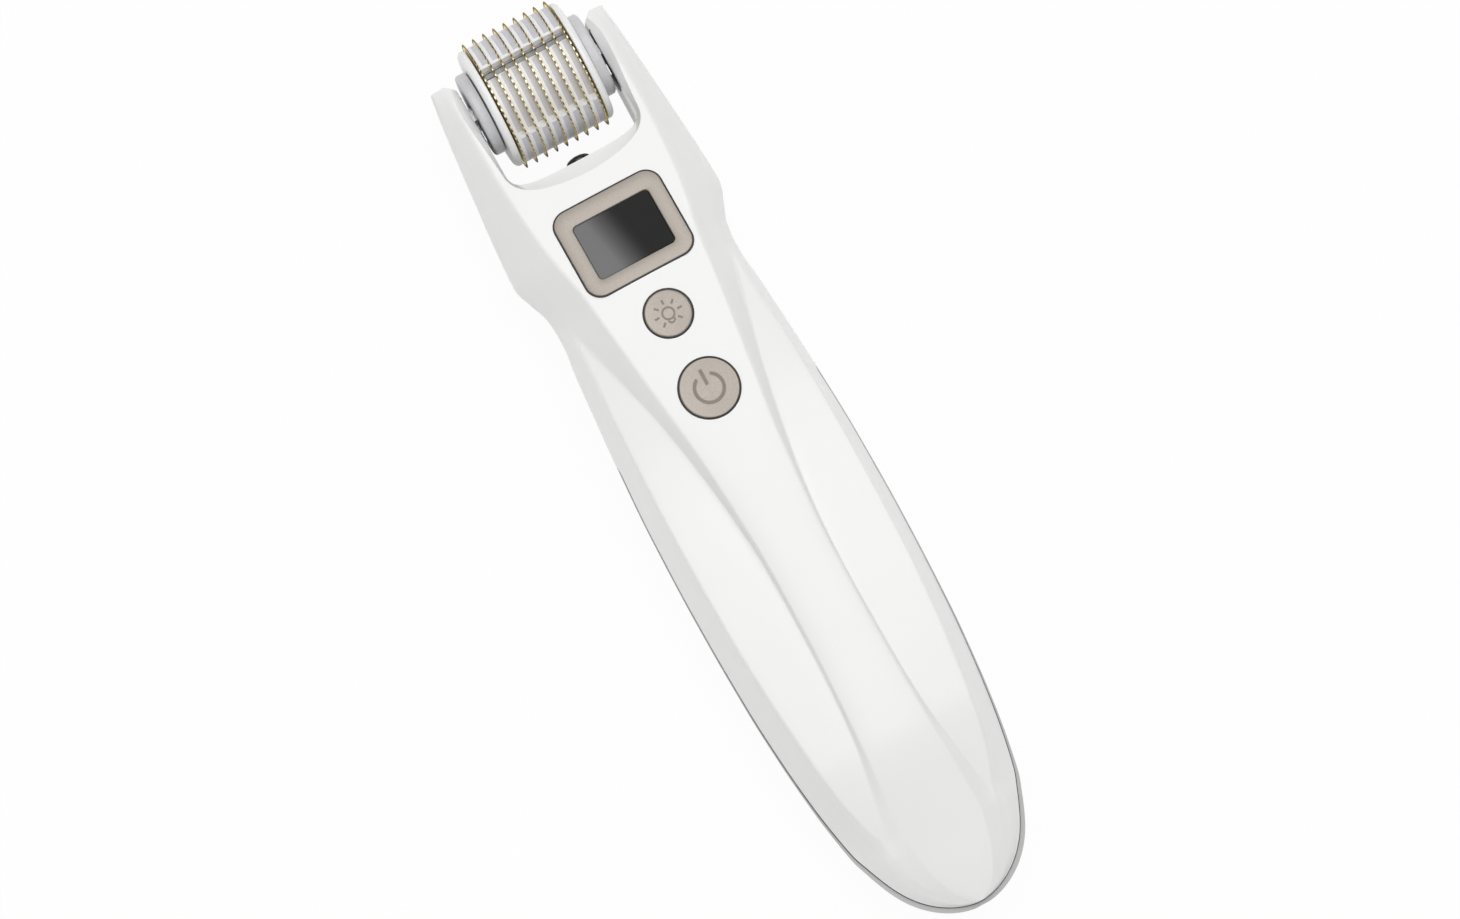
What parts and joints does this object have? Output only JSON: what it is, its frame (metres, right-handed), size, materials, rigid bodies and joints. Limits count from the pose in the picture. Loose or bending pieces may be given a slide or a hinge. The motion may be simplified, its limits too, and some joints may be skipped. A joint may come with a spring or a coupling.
{
  "type": "needle roller facial device",
  "caption": "Hand-held facial needle roller: a slim moulded handle with a yoke that holds a spinning toothed drum, a small display and round push buttons.",
  "frame": {"origin": "under the middle of the device's length and width, on the surface its belly rests on", "axes": "+Z out of the display side, +Y towards the roller, +X across the handle"},
  "size_m": [0.0446, 0.1913, 0.0325],
  "materials": {
    "white_gloss": "glossy white",
    "rear_gloss": "glossy light grey",
    "champagne": "champagne metallic",
    "dark_window": "clear over dark",
    "gold": "gold-coloured, polished",
    "pearl": "pearly",
    "satin_grey": "satin light grey",
    "black_plastic": "matte black",
    "steel": "plain",
    "board_green": "solder mask",
    "cell_blue": "shrink film"
  },
  "bodies": {
    "handle": {"front_shell": "white_gloss", "rear_shell": "rear_gloss", "display_bezel": "champagne", "display_window": "dark_window", "display_screen": "black_plastic", "light_switch": "black_plastic", "power_switch": "black_plastic", "drum_hub_left": "satin_grey", "drum_hub_right": "satin_grey", "drum_socket_left": "black_plastic", "drum_socket_right": "black_plastic", "contact_spring_left": "steel", "contact_spring_right": "steel", "drum_axle": "steel", "drum_lamp_strip": "board_green", "circuit_board": "board_green", "battery": "cell_blue", "vibration_motor": "steel", "lamp_lens": "dark_window", "lamp_board": "board_green", "charging_socket": "steel", "screw_tail_left": "steel", "screw_tail_right": "steel", "screw_head_left": "steel", "screw_head_right": "steel"},
    "drum": {"needle_disc_1": "gold", "needle_disc_2": "gold", "needle_disc_3": "gold", "needle_disc_4": "gold", "needle_disc_5": "gold", "needle_disc_6": "gold", "needle_disc_7": "gold", "needle_disc_8": "gold", "needle_disc_9": "gold", "spacer_1": "white_gloss", "spacer_2": "white_gloss", "spacer_3": "white_gloss", "spacer_4": "white_gloss", "spacer_5": "white_gloss", "spacer_6": "white_gloss", "spacer_7": "white_gloss", "spacer_8": "white_gloss", "drum_core": "pearl", "drum_flange_left": "white_gloss", "drum_flange_right": "white_gloss"},
    "light_button": {"light_button": "champagne", "light_plunger": "black_plastic"},
    "power_button": {"power_button": "champagne", "power_plunger": "black_plastic"},
    "motor_weight": {"motor_weight": "steel"}
  },
  "joints": [
    {"name": "drum_spin", "type": "hinge", "parent": "handle", "child": "drum", "pos_m": [0, 0.08235, 0.0148], "axis": [1, 0, 0], "continuous": true},
    {"name": "light_press", "type": "slide", "parent": "handle", "child": "light_button", "axis": [0, 0, -1], "range_m": [0, 0.0004], "stiffness_N_per_m": 1500, "springref_m": -0.0004},
    {"name": "power_press", "type": "slide", "parent": "handle", "child": "power_button", "axis": [0, 0, -1], "range_m": [0, 0.0004], "stiffness_N_per_m": 1500, "springref_m": -0.0004},
    {"name": "motor_spin", "type": "hinge", "parent": "handle", "child": "motor_weight", "pos_m": [0, 0.04235, 0.009], "axis": [1, 0, 0], "continuous": true}
  ]
}
